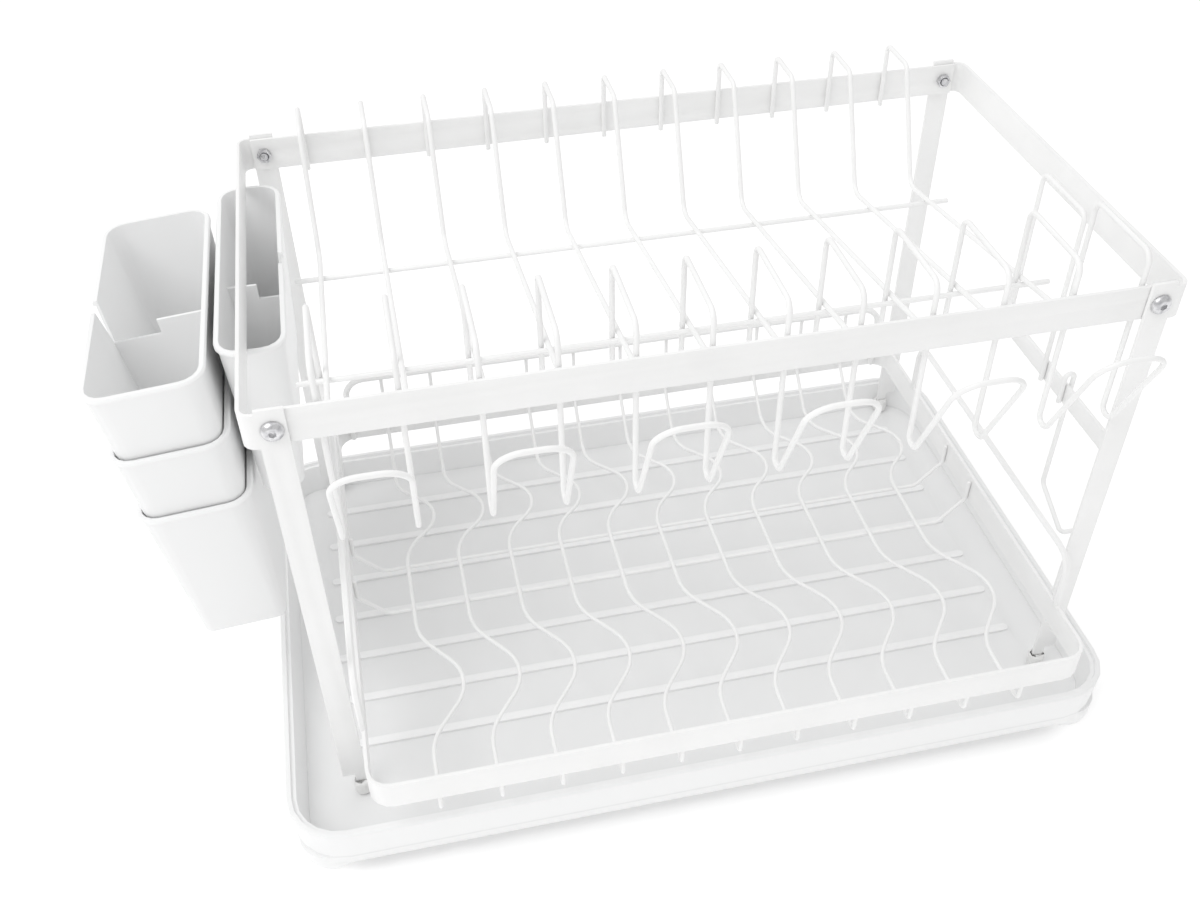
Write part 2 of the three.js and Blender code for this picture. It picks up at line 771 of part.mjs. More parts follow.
// The same cup with a low divider across its middle and a notch in one long wall.
function dividedCupGeometry(width, notchSide) {
  const taper = (depth) => depth * cupTaper;
  const inner = width / 2 - cupBead - cupWall / 2;
  const foot = inner - taper(cupHeight);
  const dividerOutline = [
    new THREE.Vector2(-inner + taper(dividerDrop), -dividerDrop),
    new THREE.Vector2(-foot, -cupHeight + cupWall / 2),
    new THREE.Vector2(foot, -cupHeight + cupWall / 2),
    new THREE.Vector2(inner - taper(dividerDrop), -dividerDrop),
  ];
  const divider = flatPlate(dividerOutline, cupWall, -cupLength / 2 - cupWall / 2);
  const notchOutline = new THREE.Shape([
    new THREE.Vector2(-notchWidth / 2, 1),
    new THREE.Vector2(0, -notchDepth),
    new THREE.Vector2(notchWidth / 2, 1),
  ]);
  const notch = new THREE.ExtrudeGeometry(notchOutline, {
    depth: width / 2,
    bevelEnabled: false,
  }).rotateX(Math.PI / 2).rotateZ(Math.PI / 2);
  notch.translate(notchSide < 0 ? -width / 2 - 1 : 1, -cupLength / 2, 0);
  return cut(join(cupShellGeometry(width), divider), notch);
}

const nest = new THREE.Group();
cups.add(nest);
for (let i = 0; i < cupCount; i += 1) {
  const shape = i === 0 ? dividedCupGeometry(cupWidth, -1) : cupShellGeometry(cupWidth);
  const cup = place(nest, `cutlery_cup_${i + 1}`, shape, rackPlastic);
  cup.position.set(-cupWidth / 2, 0, -i * cupStep);
}
nest.position.set(cupInnerX, cupBackY, cupRimZ);
nest.rotation.y = -THREE.MathUtils.degToRad(cupLean);
const innerCup = place(cups, 'cutlery_cup_inner', dividedCupGeometry(innerCupWidth, 1), rackPlastic);
innerCup.position.set(-halfWidth - innerCupFromFrame + innerCupWidth / 2, innerCupBackY, stripBottom - gap);

const lean = THREE.MathUtils.degToRad(cupLean);
const leftmost = cupInnerX - cupWidth * Math.cos(lean) + (cupBeadHeight / 2) * Math.sin(lean);
rack.position.set(
  -(trayMaxX + leftmost) / 2,
  -(basketFrontY + trayMaxY) / 2,
  footHeight,
);

export default rack;
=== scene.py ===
"""Looks of a two-tier dish drying rack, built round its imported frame.

Every wire, strip, cup and moulding is remade finely on the frame's own sizes and rides the body
that holds it. Lengths are metres. Places are measured from the rack's datum: the middle of its
footprint, at the level of its leg tips.
"""
import logging
import math
from dataclasses import dataclass, field
from enum import Enum
from typing import Sequence

import bpy
from mathutils import Matrix, Vector


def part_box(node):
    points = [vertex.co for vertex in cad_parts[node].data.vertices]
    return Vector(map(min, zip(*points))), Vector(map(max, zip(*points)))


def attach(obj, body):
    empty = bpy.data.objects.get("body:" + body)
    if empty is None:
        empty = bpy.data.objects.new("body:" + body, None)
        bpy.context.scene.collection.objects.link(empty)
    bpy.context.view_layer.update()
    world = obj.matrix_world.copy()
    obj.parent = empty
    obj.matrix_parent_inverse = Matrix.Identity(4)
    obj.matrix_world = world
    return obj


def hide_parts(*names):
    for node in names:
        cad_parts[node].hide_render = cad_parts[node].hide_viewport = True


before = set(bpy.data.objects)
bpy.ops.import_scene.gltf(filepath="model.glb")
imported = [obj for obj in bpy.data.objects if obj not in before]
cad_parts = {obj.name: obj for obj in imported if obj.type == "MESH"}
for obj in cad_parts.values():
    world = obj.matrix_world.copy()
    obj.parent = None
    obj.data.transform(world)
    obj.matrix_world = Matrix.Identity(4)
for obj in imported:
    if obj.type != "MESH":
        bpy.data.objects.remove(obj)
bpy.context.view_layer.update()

LOG = logging.getLogger("dish_rack")
MM = 0.001
GAP = 0.3 * MM


class Body(Enum):
    """The moving bodies of the rack."""

    TRAY = "tray"
    FRAME = "frame"
    BASKET = "basket"
    HOOK = "hook"
    CUP_LOW = "cup_low"
    CUP_MID = "cup_mid"
    CUP_TOP = "cup_top"


# ---------------------------------------------------------------- shader helpers


class Shade:
    """A shader socket that takes part in Python arithmetic."""

    def __init__(self, tree: bpy.types.NodeTree, socket: bpy.types.NodeSocket) -> None:
        """Wraps one output socket of a node tree."""
        self.tree = tree
        self.socket = socket

    def _math(self, operation: str, *values: "Shade | float", clamp: bool = False) -> "Shade":
        """Adds a Math node.

        Args:
            operation: The node's operation.
            values: Its inputs, in order.
            clamp: Whether the result stays between 0 and 1.

        Returns:
            The node's output.
        """
        node = self.tree.nodes.new("ShaderNodeMath")
        node.operation = operation
        node.use_clamp = clamp
        for socket, value in zip(node.inputs, values):
            if isinstance(value, Shade):
                self.tree.links.new(value.socket, socket)
            else:
                socket.default_value = value
        return Shade(self.tree, node.outputs[0])

    def __add__(self, other: "Shade | float") -> "Shade":
        """Sum."""
        return self._math("ADD", self, other)

    def __radd__(self, other: float) -> "Shade":
        """Sum with the number first."""
        return self._math("ADD", other, self)

    def __sub__(self, other: "Shade | float") -> "Shade":
        """Difference."""
        return self._math("SUBTRACT", self, other)

    def __rsub__(self, other: float) -> "Shade":
        """Difference from a number."""
        return self._math("SUBTRACT", other, self)

    def __mul__(self, other: "Shade | float") -> "Shade":
        """Product."""
        return self._math("MULTIPLY", self, other)

    def __rmul__(self, other: float) -> "Shade":
        """Product with the number first."""
        return self._math("MULTIPLY", other, self)

    def clamped(self) -> "Shade":
        """The same value kept between 0 and 1."""
        return self._math("ADD", self, 0.0, clamp=True)


class Maker:
    """Builds one material's node tree."""

    def __init__(self, name: str) -> None:
        """Starts an empty material with a Principled shader."""
        self.material = bpy.data.materials.new(name)
        self.material.use_nodes = True
        self.tree = self.material.node_tree
        self.shader = self.tree.nodes["Principled BSDF"]

    def node(self, kind: str, settings: dict | None = None, **inputs: object) -> bpy.types.Node:
        """Adds a node.

        Args:
            kind: The node's type.
            settings: Properties that are set first.
            inputs: Values or links of its sockets; an underscore stands for a space.

        Returns:
            The new node.
        """
        made = self.tree.nodes.new(kind)
        for key, value in (settings or {}).items():
            setattr(made, key, value)
        for key, value in inputs.items():
            socket = made.inputs[key.replace("_", " ")]
            if isinstance(value, Shade):
                self.tree.links.new(value.socket, socket)
            else:
                socket.default_value = value
        return made

    def place(self, scale: Sequence[float] = (1.0, 1.0, 1.0)) -> Shade:
        """The point on the piece, stretched by a scale.

        Args:
            scale: The stretch along each axis.

        Returns:
            The point as a vector.
        """
        coordinates = self.tree.nodes.new("ShaderNodeTexCoord")
        mapping = self.tree.nodes.new("ShaderNodeMapping")
        mapping.inputs["Scale"].default_value = scale
        self.tree.links.new(coordinates.outputs["Object"], mapping.inputs["Vector"])
        return Shade(self.tree, mapping.outputs["Vector"])

    def height(self) -> Shade:
        """The height of the point above the ground, in metres."""
        split = self.node("ShaderNodeSeparateXYZ", Vector=self.place())
        return Shade(self.tree, split.outputs["Z"])

    def noise(self, scale: float, detail: float, stretch: Sequence[float] = (1.0, 1.0, 1.0)) -> Shade:
        """Fractal noise.

        Args:
            scale: How fine it is.
            detail: How many octaves it has.
            stretch: The stretch of its space.

        Returns:
            The noise, near 0.5.
        """
        made = self.node("ShaderNodeTexNoise", Vector=self.place(stretch), Scale=scale, Detail=detail)
        return Shade(self.tree, made.outputs["Fac"])

    def ramp(self, value: Shade, low: float, high: float) -> Shade:
        """Maps a value's range from low to high onto 0 to 1.

        Args:
            value: What is mapped.
            low: The value that becomes 0.
            high: The value that becomes 1.

        Returns:
            The clamped result.
        """
        made = self.node("ShaderNodeMapRange", {"clamp": True}, Value=value, From_Min=low, From_Max=high)
        return Shade(self.tree, made.outputs["Result"])

    def blend(self, share: Shade, first: Sequence[float], second: Sequence[float]) -> Shade:
        """Mixes two colours.

        Args:
            share: How much of the second colour shows.
            first: The colour at 0.
            second: The colour at 1.

        Returns:
            The mixed colour.
        """
        made = self.tree.nodes.new("ShaderNodeMix")
        made.data_type = "RGBA"
        self.tree.links.new(share.socket, made.inputs["Factor"])
        made.inputs[6].default_value = (*first, 1.0)
        made.inputs[7].default_value = (*second, 1.0)
        return Shade(self.tree, made.outputs[2])

    def feed(self, socket: str, value: "Shade | float") -> None:
        """Links or sets one socket of the shader."""
        if isinstance(value, Shade):
            self.tree.links.new(value.socket, self.shader.inputs[socket])
        else:
            self.shader.inputs[socket].default_value = value

    def bump(self, height: Shade, depth: float, strength: float) -> None:
        """Raises the surface by a height.

        Args:
            height: The height, from 0 to 1.
            depth: What a height of 1 stands for, in metres.
            strength: How strongly it shows.
        """
        made = self.node("ShaderNodeBump", Height=height, Distance=depth, Strength=strength)
        self.feed("Normal", Shade(self.tree, made.outputs["Normal"]))


# ---------------------------------------------------------------- finishes


@dataclass(frozen=True)
class PowderCoat:
    """White powder coat on steel: fine orange peel, a thin gloss and faint dust."""

    name: str = "powder_coat"
    light: tuple[float, float, float] = (0.93, 0.93, 0.927)
    dull: tuple[float, float, float] = (0.89, 0.89, 0.885)
    peel_scale: float = 620.0
    peel_depth: float = 0.00006

    def build(self) -> bpy.types.Material:
        """Makes the material."""
        maker = Maker(self.name)
        mottle = maker.noise(26.0, 4.0)
        peel = maker.noise(self.peel_scale, 2.0)
        grain = maker.noise(self.peel_scale * 3.1, 2.0)
        maker.feed("Base Color", maker.blend(maker.ramp(mottle, 0.35, 0.75), self.light, self.dull))
        maker.feed("Roughness", (0.33 + 0.16 * mottle + 0.08 * peel).clamped())
        maker.bump(0.75 * peel + 0.25 * grain, self.peel_depth, 0.55)
        maker.feed("Specular IOR Level", 0.5)
        maker.feed("Coat Weight", 0.12)
        maker.feed("Coat Roughness", 0.22)
        return maker.material


@dataclass(frozen=True)
class MouldedPlastic:
    """White moulded plastic with a fine matt texture, faint flow marks and light rub marks."""

    name: str
    light: tuple[float, float, float]
    dull: tuple[float, float, float]
    roughness: float
    texture_scale: float
    texture_depth: float
    flow_stretch: tuple[float, float, float] = (1.0, 1.0, 0.25)

    def build(self) -> bpy.types.Material:
        """Makes the material."""
        maker = Maker(self.name)
        flow = maker.noise(14.0, 3.0, self.flow_stretch)
        texture = maker.noise(self.texture_scale, 3.0)
        rubs = maker.ramp(maker.noise(90.0, 5.0, (1.0, 6.0, 1.0)), 0.56, 0.72)
        maker.feed("Base Color", maker.blend(maker.ramp(flow, 0.3, 0.75), self.light, self.dull))
        maker.feed("Roughness", (self.roughness + 0.12 * flow + 0.1 * texture - 0.07 * rubs).clamped())
        maker.bump(texture, self.texture_depth, 0.5)
        maker.feed("Subsurface Weight", 0.06)
        maker.feed("Subsurface Radius", (0.004, 0.004, 0.004))
        return maker.material


@dataclass(frozen=True)
class TrayPlastic(MouldedPlastic):
    """The drip tray's plastic, with painted shade: its floor is painted greyer between the ribs, which
    stay light as a painted highlight.
    """

    # Painted shade: the grey painted on faces between the heights floor_low and floor_top, which is the
    # floor between the ribs.
    painted_floor_shade: tuple[float, float, float] = (0.825, 0.828, 0.828)
    floor_low: float = 0.0168
    floor_top: float = 0.0172
    rib_top: float = 0.0184

    def build(self) -> bpy.types.Material:
        """Makes the material."""
        maker = Maker(self.name)
        # Painted shade by height: faces between floor_low and floor_top get the painted grey. The raised
        # ribs stay light as a painted highlight, and faces below the band stay light too.
        height = maker.height()
        raised = maker.ramp(height, self.floor_top, self.rib_top)
        under = 1.0 - maker.ramp(height, self.floor_low - 0.0006, self.floor_low)
        mottle = maker.ramp(maker.noise(9.0, 3.0, self.flow_stretch), 0.3, 0.75)
        texture = maker.noise(self.texture_scale, 3.0)
        share = (raised + under + 0.12 * mottle).clamped()
        maker.feed("Base Color", maker.blend(share, self.painted_floor_shade, self.light))
        maker.feed("Roughness", (self.roughness + 0.1 * mottle + 0.1 * texture).clamped())
        maker.bump(texture, self.texture_depth, 0.5)
        maker.feed("Subsurface Weight", 0.06)
        maker.feed("Subsurface Radius", (0.004, 0.004, 0.004))
        return maker.material


@dataclass(frozen=True)
class TurnedSteel:
    """Bright turned steel with fine rings, scratches and a little smear."""

    name: str = "bright_steel"
    light: tuple[float, float, float] = (0.78, 0.78, 0.79)
    dark: tuple[float, float, float] = (0.48, 0.48, 0.50)

    def build(self) -> bpy.types.Material:
        """Makes the material."""
        maker = Maker(self.name)
        smear = maker.noise(420.0, 4.0)
        lines = maker.noise(900.0, 3.0, (1.0, 14.0, 1.0))
        maker.feed("Base Color", maker.blend(maker.ramp(smear, 0.35, 0.7), self.light, self.dark))
        maker.feed("Metallic", 1.0)
        maker.feed("Roughness", (0.14 + 0.2 * smear + 0.12 * lines).clamped())
        maker.bump(lines, 0.00003, 0.5)
        return maker.material


CUP_PLASTIC = MouldedPlastic(
    "cup_plastic", (0.93, 0.932, 0.932), (0.90, 0.903, 0.903), 0.34, 900.0, 0.00003,
)
TRAY_PLASTIC = TrayPlastic(
    "tray_plastic", (0.91, 0.912, 0.912), (0.84, 0.843, 0.843), 0.3, 700.0, 0.00005, (0.5, 1.0, 1.0),
)
CAP_PLASTIC = MouldedPlastic(
    "cap_plastic", (0.83, 0.83, 0.82), (0.76, 0.76, 0.75), 0.36, 1100.0, 0.00004,
)


@dataclass
class Finishes:
    """The finishes as built materials."""

    coat: bpy.types.Material = field(default_factory=lambda: PowderCoat().build())
    cup: bpy.types.Material = field(default_factory=CUP_PLASTIC.build)
    tray: bpy.types.Material = field(default_factory=TRAY_PLASTIC.build)
    cap: bpy.types.Material = field(default_factory=CAP_PLASTIC.build)
    steel: bpy.types.Material = field(default_factory=lambda: TurnedSteel().build())


# ---------------------------------------------------------------- bench tools


def deselect() -> None:
    """Deselects every object."""
    bpy.ops.object.select_all(action="DESELECT")


def pick(*pieces: bpy.types.Object) -> bpy.types.Object:
    """Selects pieces alone and makes the first one active.

    Args:
        pieces: What is selected.

    Returns:
        The active piece.
    """
    deselect()
    for piece in pieces:
        piece.select_set(True)
    bpy.context.view_layer.objects.active = pieces[0]
    return pieces[0]


def edit(mode: str = "FACE") -> None:
    """Enters edit mode on the active piece with nothing selected."""
    bpy.ops.object.mode_set(mode="EDIT")
    bpy.ops.mesh.select_mode(type=mode)
    bpy.ops.mesh.select_all(action="DESELECT")


def leave() -> None:
    """Returns to object mode."""
    bpy.ops.object.mode_set(mode="OBJECT")


def apply_modifier(piece: bpy.types.Object, kind: str, **settings: object) -> None:
    """Adds a modifier with settings and applies it.

    Args:
        piece: The piece that is shaped.
        kind: The modifier's type.
        settings: Its properties.
    """
    pick(piece)
    modifier = piece.modifiers.new(kind.title(), kind)
    for key, value in settings.items():
        setattr(modifier, key, value)
    bpy.ops.object.modifier_apply(modifier=modifier.name)


def settle(piece: bpy.types.Object) -> None:
    """Moves a piece's place into its mesh."""
    pick(piece)
    bpy.ops.object.transform_apply(location=True, rotation=True, scale=True)


def smooth(piece: bpy.types.Object, degrees: float = 35.0) -> None:
    """Shades a piece smooth except across edges sharper than an angle."""
    pick(piece)
    bpy.ops.object.shade_smooth_by_angle(angle=math.radians(degrees))


def copy_of(piece: bpy.types.Object, name: str, shift: Vector) -> bpy.types.Object:
    """Copies a piece and its mesh, moved by a shift.

    Args:
        piece: What is copied.
        name: The copy's name.
        shift: How far it is moved.

    Returns:
        The copy.
    """
    made = piece.copy()
    made.data = piece.data.copy()
    made.name = name
    made.data.transform(Matrix.Translation(shift))
    bpy.context.scene.collection.objects.link(made)
    return made


def mount(
    piece: bpy.types.Object, body: Body, finish: bpy.types.Material, slot: str, *nodes: str,
) -> None:
    """Dresses a finished piece and fixes it to its body.

    Args:
        piece: The finished piece.
        body: The body it rides on.
        finish: Its material.
        slot: The name of a material slot; not used.
        nodes: The frame's nodes that it stands for.
    """
    piece.data.materials.clear()
    piece.data.materials.append(finish)
    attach(piece, body.value)
    if nodes:
        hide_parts(*nodes)
    LOG.info("%s rides %s with %d faces", piece.name, body.value, len(piece.data.polygons))


@dataclass(frozen=True)
class Datum:
    """The rack's own zero, found from the side frames."""

    frame_height: float = 0.270
    leg_tip: float = 0.003

    def origin(self) -> Vector:
        """The middle of the footprint at the level of the leg tips."""
        left_low, left_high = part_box("left_side_frame")
        _, right_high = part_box("right_side_frame")
        middle_x = (left_low.x + right_high.x) / 2
        middle_y = (left_low.y + left_high.y) / 2
        return Vector((middle_x, middle_y, left_high.z - self.frame_height))


ORIGIN = Datum().origin()


def at(x: float, y: float, z: float) -> Vector:
    """A point measured from the rack's datum, in millimetres, as a place in the frame."""
    return ORIGIN + Vector((x, y, z)) * MM


@dataclass(frozen=True)
class Corner:
    """One corner of a wire's route and the radius that it is bent to, in millimetres."""

    x: float
    y: float
    z: float
    bend: float = 5.0

    def point(self) -> Vector:
        """The corner's place in the frame."""
        return at(self.x, self.y, self.z)

    def mirrored(self, about: float = 0.0) -> "Corner":
        """The same corner on the other side of a plane across X."""
        return Corner(2 * about - self.x, self.y, self.z, self.bend)


@dataclass(frozen=True)
class WireBender:
    """Draws a round wire along straight runs and spins it round each bend."""

    diameter: float
    sides: int = 14
    degrees_per_step: float = 9.0
    end_round: float = 0.35

    def bend(self, name: str, corners: Sequence[Corner]) -> bpy.types.Object:
        """Makes one wire.

        Args:
            name: The piece's name.
            corners: The route, from end to end.

        Returns:
            The finished wire.
        """
        points = [corner.point() for corner in corners]
        start = (points[1] - points[0]).normalized()
        turn = Vector((0.0, 0.0, 1.0)).rotation_difference(start).to_euler()
        deselect()
        bpy.ops.mesh.primitive_circle_add(
            vertices=self.sides, radius=self.diameter * MM / 2, fill_type="NOTHING",
            location=points[0], rotation=turn,
        )
        wire = bpy.context.object
        wire.name = name
        edit("VERT")
        bpy.ops.mesh.select_all(action="SELECT")
        reached = points[0]
        for before, corner, after in zip(points, corners[1:-1], points[2:]):
            reached = self._turn(reached, before, corner, after)
        self._draw(points[-1] - reached)
        self._close()
        settle(wire)
        apply_modifier(
            wire, "BEVEL", width=self.diameter * MM / 2 * self.end_round, segments=2,
            limit_method="ANGLE", angle_limit=math.radians(60),
        )
        smooth(wire, 50.0)
        return wire

    def _turn(self, reached: Vector, before: Vector, corner: Corner, after: Vector) -> Vector:
        """Draws up to a corner and spins round it.

        Args:
            reached: Where the wire has got to.
            before: The corner before.
            corner: The corner that is bent.
            after: The corner after.

        Returns:
            Where the bend ends.
        """
        place = corner.point()
        arriving = (place - before).normalized()
        leaving = (after - place).normalized()
        angle = arriving.angle(leaving)
        room = 0.48 * min((place - before).length, (after - place).length)
        set_back = min(corner.bend * MM * math.tan(angle / 2), room)
        radius = set_back / math.tan(angle / 2)
        axis = arriving.cross(leaving).normalized()
        start = place - arriving * set_back
        centre = start + axis.cross(arriving) * radius
        self._draw(start - reached)
        steps = max(2, round(math.degrees(angle) / self.degrees_per_step))
        bpy.ops.mesh.spin(steps=steps, angle=-angle, center=centre, axis=axis)
        return place + leaving * set_back

    @staticmethod
    def _draw(run: Vector) -> None:
        """Extrudes the open end along a straight run."""
        if run.length > 0.02 * MM:
            bpy.ops.mesh.extrude_region_move(TRANSFORM_OT_translate={"value": run})

    @staticmethod
    def _close() -> None:
        """Closes both ends and turns every face outwards."""
        bpy.ops.mesh.select_all(action="SELECT")
        bpy.ops.mesh.remove_doubles(threshold=0.01 * MM)
        bpy.ops.mesh.fill_holes(sides=0)
        bpy.ops.mesh.select_all(action="SELECT")
        bpy.ops.mesh.normals_make_consistent(inside=False)
        leave()


@dataclass(frozen=True)
class EdgeWorker:
    """Takes a clean copy of a frame node and rounds its edges."""

    round_over: float = 0.45
    segments: int = 3
    sharp_angle: float = 40.0

    def finish(self, node: str, name: str) -> bpy.types.Object:
        """Makes the rounded copy.

        Args:
            node: The frame node that is copied.
            name: The new piece's name.

        Returns:
            The finished piece.
        """
        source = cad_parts[node]
        piece = bpy.data.objects.new(name, source.data.copy())
        bpy.context.scene.collection.objects.link(piece)
        pick(piece)
        edit()
        bpy.ops.mesh.select_all(action="SELECT")
        bpy.ops.mesh.remove_doubles(threshold=0.02 * MM)
        bpy.ops.mesh.dissolve_limited(angle_limit=math.radians(2.0))
        bpy.ops.mesh.select_all(action="SELECT")
        bpy.ops.mesh.normals_make_consistent(inside=False)
        leave()
        apply_modifier(
            piece, "BEVEL", width=self.round_over * MM, segments=self.segments,
            limit_method="ANGLE", angle_limit=math.radians(self.sharp_angle),
            use_clamp_overlap=True, harden_normals=False,
        )
        smooth(piece, 38.0)
        return piece


# ---------------------------------------------------------------- upper frame


@dataclass
class UpperFrame:
    """Side frames, bars, screws, nuts and leg caps."""

    finishes: Finishes
    strips: tuple[str, ...] = (
        "left_side_frame", "right_side_frame", "front_bar", "rear_bar", "side_strip",
    )
    corners: tuple[str, ...] = ("front_left", "front_right", "rear_left", "rear_right")

    def build(self) -> None:
        """Rounds the strips' edges and dresses the fasteners."""
        worker = EdgeWorker()
        for strip in self.strips:
            piece = worker.finish(strip, f"{strip}_coated")
            mount(piece, Body.FRAME, self.finishes.coat, "powder_coat", strip)
        for corner in self.corners:
            self._screw(corner)
            self._nut(corner)
            self._cap(corner)

    def _screw(self, corner: str) -> None:
        """Makes one button-head screw with a hexagon socket."""
        low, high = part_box(f"{corner}_screw")
        outward = -1.0 if corner.startswith("front") else 1.0
        centre = (low + high) / 2
        face = low.y if outward < 0 else high.y
        middle = Vector((centre.x, face, centre.z))
        piece = ScrewHead().make(f"{corner}_button_screw", middle, outward, high.y - low.y)
        mount(piece, Body.FRAME, self.finishes.steel, "steel", f"{corner}_screw")

    def _nut(self, corner: str) -> None:
        """Rounds one nut's edges."""
        piece = EdgeWorker(round_over=0.3, segments=2).finish(f"{corner}_nut", f"{corner}_hex_nut")
        mount(piece, Body.FRAME, self.finishes.steel, "steel", f"{corner}_nut")

    def _cap(self, corner: str) -> None:
        """Rounds one leg cap's edges."""
        piece = EdgeWorker(round_over=0.4, segments=2, sharp_angle=30.0).finish(
            f"{corner}_leg_cap", f"{corner}_foot_cap",
        )
        mount(piece, Body.FRAME, self.finishes.cap, "cap_plastic", f"{corner}_leg_cap")


@dataclass(frozen=True)
class ScrewHead:
    """A button-head screw, in millimetres."""

    head_radius: float = 5.0
    head_height: float = 2.6
    shank_radius: float = 2.2
    socket_radius: float = 1.75
    socket_depth: float = 1.5
    socket_rim: float = 0.2
    shank_chamfer: float = 0.35
    dome: float = 52.0
    dome_steps: int = 6
    sides: int = 48

    def make(self, name: str, face: Vector, outward: float, length: float) -> bpy.types.Object:
        """Makes the screw.

        Args:
            name: The piece's name.
            face: The middle of the head's outer face.
            outward: 1 if the head faces back, -1 if it faces forward.
            length: The whole screw's length, in metres.

        Returns:
            The finished screw.
        """
        deselect()
        bpy.ops.mesh.primitive_circle_add(
            vertices=self.sides, radius=self.head_radius * MM, fill_type="NGON",
            location=face - Vector((0.0, outward * self.head_height * MM, 0.0)),
            rotation=(-outward * math.pi / 2, 0.0, 0.0),
        )
        screw = bpy.context.object
        screw.name = name
        bpy.ops.object.mode_set(mode="EDIT")
        bpy.ops.mesh.select_all(action="SELECT")
        height = self.head_height * MM
        full = math.radians(self.dome)
        last = 0.0
        for step in range(1, self.dome_steps + 1):
            angle = step / self.dome_steps * full
            rise = height * math.sin(angle) / math.sin(full)
            ratio = math.cos(angle) / math.cos((step - 1) / self.dome_steps * full)
            bpy.ops.mesh.extrude_region_move(
                TRANSFORM_OT_translate={"value": (0.0, outward * (rise - last), 0.0)},
            )
            bpy.ops.transform.resize(value=(ratio, 1.0, ratio), center_override=face)
            last = rise
        bpy.ops.mesh.inset(thickness=self.socket_rim * MM)
        leave()
        settle(screw)
        self._cut_socket(screw, face, outward)
        self._add_shank(screw, face, outward, length)
        smooth(screw, 32.0)
        return screw

    def _cut_socket(self, screw: bpy.types.Object, face: Vector, outward: float) -> None:
        """Cuts the hexagon socket into the head."""
        deselect()
        bpy.ops.mesh.primitive_cylinder_add(
            vertices=6, radius=self.socket_radius * MM, depth=2 * self.socket_depth * MM, location=face,
            rotation=(math.pi / 2, 0.0, 0.0),
        )
        cutter = bpy.context.object
        settle(cutter)
        apply_modifier(screw, "BOOLEAN", operation="DIFFERENCE", object=cutter, solver="EXACT")
        bpy.data.objects.remove(cutter)

    def _add_shank(self, screw: bpy.types.Object, face: Vector, outward: float, length: float) -> None:
        """Joins the shank under the head."""
        deselect()
        overlap = 0.4 * MM
        depth = length - self.head_height * MM + overlap
        middle = face - Vector((0.0, outward * (length - depth / 2), 0.0))
        bpy.ops.mesh.primitive_cylinder_add(
            vertices=32, radius=self.shank_radius * MM, depth=depth, location=middle,
            rotation=(math.pi / 2, 0.0, 0.0),
        )
        shank = bpy.context.object
        settle(shank)
        apply_modifier(
            shank, "BEVEL", width=self.shank_chamfer * MM, segments=2,
            limit_method="ANGLE", angle_limit=math.radians(57),
        )
        apply_modifier(screw, "BOOLEAN", operation="UNION", object=shank, solver="EXACT")
        bpy.data.objects.remove(shank)


# ---------------------------------------------------------------- dish wires


@dataclass
class DishWires:
    """The row of dish wires and the two rods under them; sizes in millimetres from the datum."""

    finishes: Finishes
    count: int = 11
    diameter: float = 2.8
    rear_y: float = 118.2
    tail_z: float = 248.0
    peak_z: float = 285.6
    run: float = 28.0
    dip_y: float = 62.0
    dip_z: float = 224.0
    front_y: float = -119.8
    front_z: float = 253.0

    def build(self) -> None:
        """Bends one dish wire, copies it along the row, and draws the rods."""
        bender = WireBender(self.diameter)
        low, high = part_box("dish_wire_01")
        first_x = ((low.x + high.x) / 2 - ORIGIN.x) / MM
        route = [
            Corner(first_x, self.rear_y, self.tail_z),
            Corner(first_x, self.rear_y, self.peak_z, 4.0),
            Corner(first_x, self.rear_y - self.run, self.peak_z, 6.0),
            Corner(first_x, self.dip_y, self.dip_z, 9.0),
            Corner(first_x, self.front_y, self.front_z),
        ]
        model = bender.bend("dish_wire_model", route)
        for index in range(1, self.count + 1):
            node = f"dish_wire_{index:02d}"
            here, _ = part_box(node)
            wire = copy_of(model, f"dish_wire_round_{index:02d}", Vector((here.x - low.x, 0.0, 0.0)))
            mount(wire, Body.FRAME, self.finishes.coat, "powder_coat", node)
        bpy.data.objects.remove(model)
        for rod in ("rear_rod", "front_rod"):
            self._rod(bender, rod)

    def _rod(self, bender: WireBender, node: str) -> None:
        """Draws one straight rod along its node's box."""
        low, high = (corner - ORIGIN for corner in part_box(node))
        middle_y = (low.y + high.y) / 2 / MM
        middle_z = (low.z + high.z) / 2 / MM
        route = [Corner(low.x / MM, middle_y, middle_z), Corner(high.x / MM, middle_y, middle_z)]
        rod = bender.bend(f"{node}_round", route)
        mount(rod, Body.FRAME, self.finishes.coat, "powder_coat", node)


